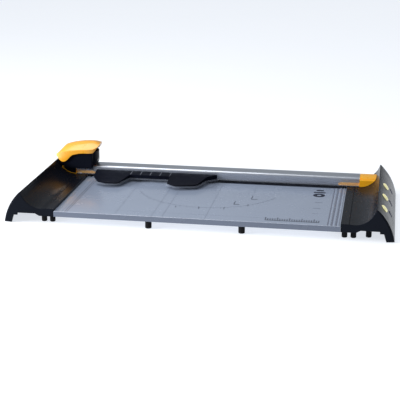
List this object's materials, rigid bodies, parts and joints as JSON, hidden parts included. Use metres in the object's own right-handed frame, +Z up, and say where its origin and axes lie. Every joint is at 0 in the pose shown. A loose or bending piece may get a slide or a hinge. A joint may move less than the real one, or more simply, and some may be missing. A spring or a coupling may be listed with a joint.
{
  "type": "rotary paper trimmer",
  "caption": "Rotary paper trimmer: flat bed between curved end caps, guide rail with sprung clear clamp, sliding carriage with press-down grip and round blade.",
  "frame": {"origin": "on the table, under the middle of the bed", "axes": "+X along the rail to the right, +Y to the back, +Z up"},
  "size_m": [0.655, 0.282, 0.0871],
  "materials": {
    "bed": "satin blue-grey",
    "dark_plastic": "gloss dark",
    "black_plastic": "fine texture",
    "yellow_plastic": "gloss yellow",
    "aluminium": "satin, brushed along the rail",
    "steel": "plated",
    "clear_plastic": "clear polycarbonate",
    "rubber": "matte"
  },
  "bodies": {
    "base": {"bed_plate": "bed", "left_end_cap": "dark_plastic", "right_end_cap": "dark_plastic", "spare_cartridge_1": "dark_plastic", "spare_cartridge_2": "dark_plastic", "spare_cartridge_3": "dark_plastic", "cutting_mat": "black_plastic", "storage_tray": "black_plastic", "spring_cup_left": "black_plastic", "spring_cup_right": "black_plastic", "left_end_block": "yellow_plastic", "right_end_block": "yellow_plastic", "spare_knob_1": "yellow_plastic", "spare_knob_2": "yellow_plastic", "spare_knob_3": "yellow_plastic", "rail": "aluminium", "bed_brace_front": "steel", "bed_brace_rear": "steel", "spare_blade_1": "steel", "spare_blade_2": "steel", "spare_blade_3": "steel", "hinge_pin": "steel", "clamp_spring_left": "steel", "clamp_spring_right": "steel", "left_cap_screw_front": "steel", "left_cap_screw_rear": "steel", "right_cap_screw_front": "steel", "right_cap_screw_rear": "steel", "left_block_screw": "steel", "right_block_screw": "steel", "bed_foot_front_left": "rubber", "bed_foot_front_right": "rubber", "bed_foot_rear_left": "rubber", "bed_foot_rear_right": "rubber", "left_cap_foot_front_inner": "rubber", "left_cap_foot_front_outer": "rubber", "left_cap_foot_rear_inner": "rubber", "left_cap_foot_rear_outer": "rubber", "right_cap_foot_front_inner": "rubber", "right_cap_foot_front_outer": "rubber", "right_cap_foot_rear_inner": "rubber", "right_cap_foot_rear_outer": "rubber", "right_cap_foot_front_side": "rubber"},
    "clamp": {"clamp_strip": "clear_plastic", "press_pad": "black_plastic", "clamp_rubber": "rubber", "clamp_post_left": "steel", "clamp_post_right": "steel"},
    "carriage": {"carriage_housing": "dark_plastic", "carriage_chassis": "black_plastic", "press_spring_1": "steel", "press_spring_2": "steel"},
    "press_head": {"grip_cap": "yellow_plastic", "press_carrier": "black_plastic", "blade_cartridge": "dark_plastic", "cartridge_knob": "yellow_plastic", "blade_axle": "steel"},
    "blade": {"cutting_blade": "steel"},
    "door": {"storage_door": "dark_plastic"}
  },
  "joints": [
    {"name": "carriage_slide", "type": "slide", "parent": "base", "child": "carriage", "axis": [1, 0, 0], "range_m": [0, 0.497]},
    {"name": "head_press", "type": "slide", "parent": "carriage", "child": "press_head", "axis": [0, 0, -1], "range_m": [0, 0.0035], "stiffness_N_per_m": 1500, "springref_m": -0.002, "deforming": ["press_spring_1", "press_spring_2"]},
    {"name": "blade_spin", "type": "hinge", "parent": "press_head", "child": "blade", "pos_m": [-0.256, 0.08575, 0.0391], "axis": [0, 1, 0], "continuous": true},
    {"name": "clamp_press", "type": "slide", "parent": "base", "child": "clamp", "axis": [0, 0, -1], "range_m": [0, 0.004], "stiffness_N_per_m": 700, "springref_m": -0.004, "deforming": ["clamp_spring_left", "clamp_spring_right"]},
    {"name": "door_hinge", "type": "hinge", "parent": "base", "child": "door", "pos_m": [0.30001, -0.028, 0.04936], "axis": [0, -1, 0], "range_deg": [0, 60]}
  ]
}
